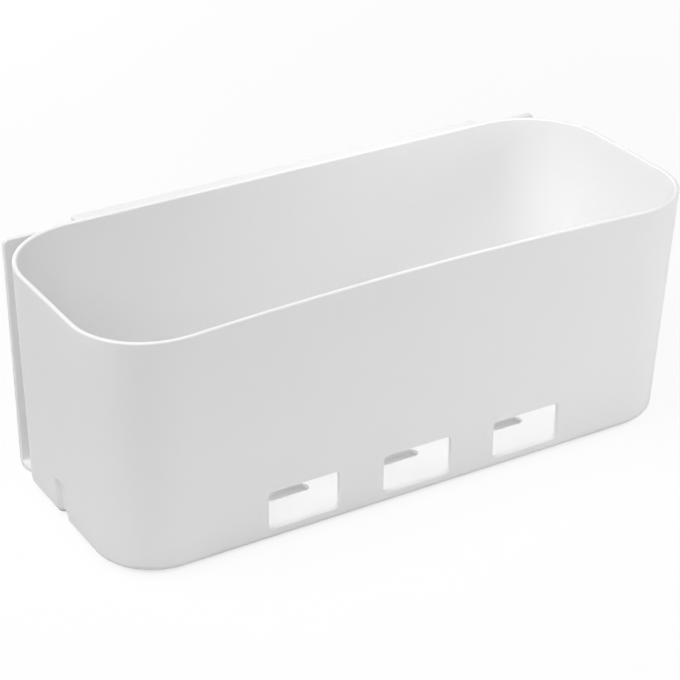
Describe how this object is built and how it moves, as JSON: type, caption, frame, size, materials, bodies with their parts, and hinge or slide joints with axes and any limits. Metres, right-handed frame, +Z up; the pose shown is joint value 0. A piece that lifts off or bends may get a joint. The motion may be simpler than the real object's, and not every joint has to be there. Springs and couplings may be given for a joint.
{
  "type": "wall-mounted storage bin",
  "caption": "Open storage bin with rounded corners, low front openings and floor drain slots, hooked over a backing plate with a small ledge and foam pads.",
  "frame": {"origin": "middle of the wall side of the centre foam pad, which is the plane y = 0 of the wall", "axes": "+Z up, +X along the bin's length, +Y into the wall, so the front faces -Y"},
  "size_m": [0.3, 0.131, 0.1169],
  "materials": {
    "bin_shell": "white moulded polypropylene, satin",
    "backing_plate": "white moulded polypropylene, satin",
    "foam": "white closed-cell foam, matt"
  },
  "bodies": {
    "mount": {"back_plate": "backing_plate", "foam_pad_left": "foam", "foam_pad_centre": "foam", "foam_pad_right": "foam"},
    "bin": {"bin": "bin_shell"}
  },
  "joints": [
    {"name": "bin_lift", "type": "slide", "parent": "mount", "child": "bin", "axis": [0, 0, 1], "range_m": [0, 0.012]}
  ]
}
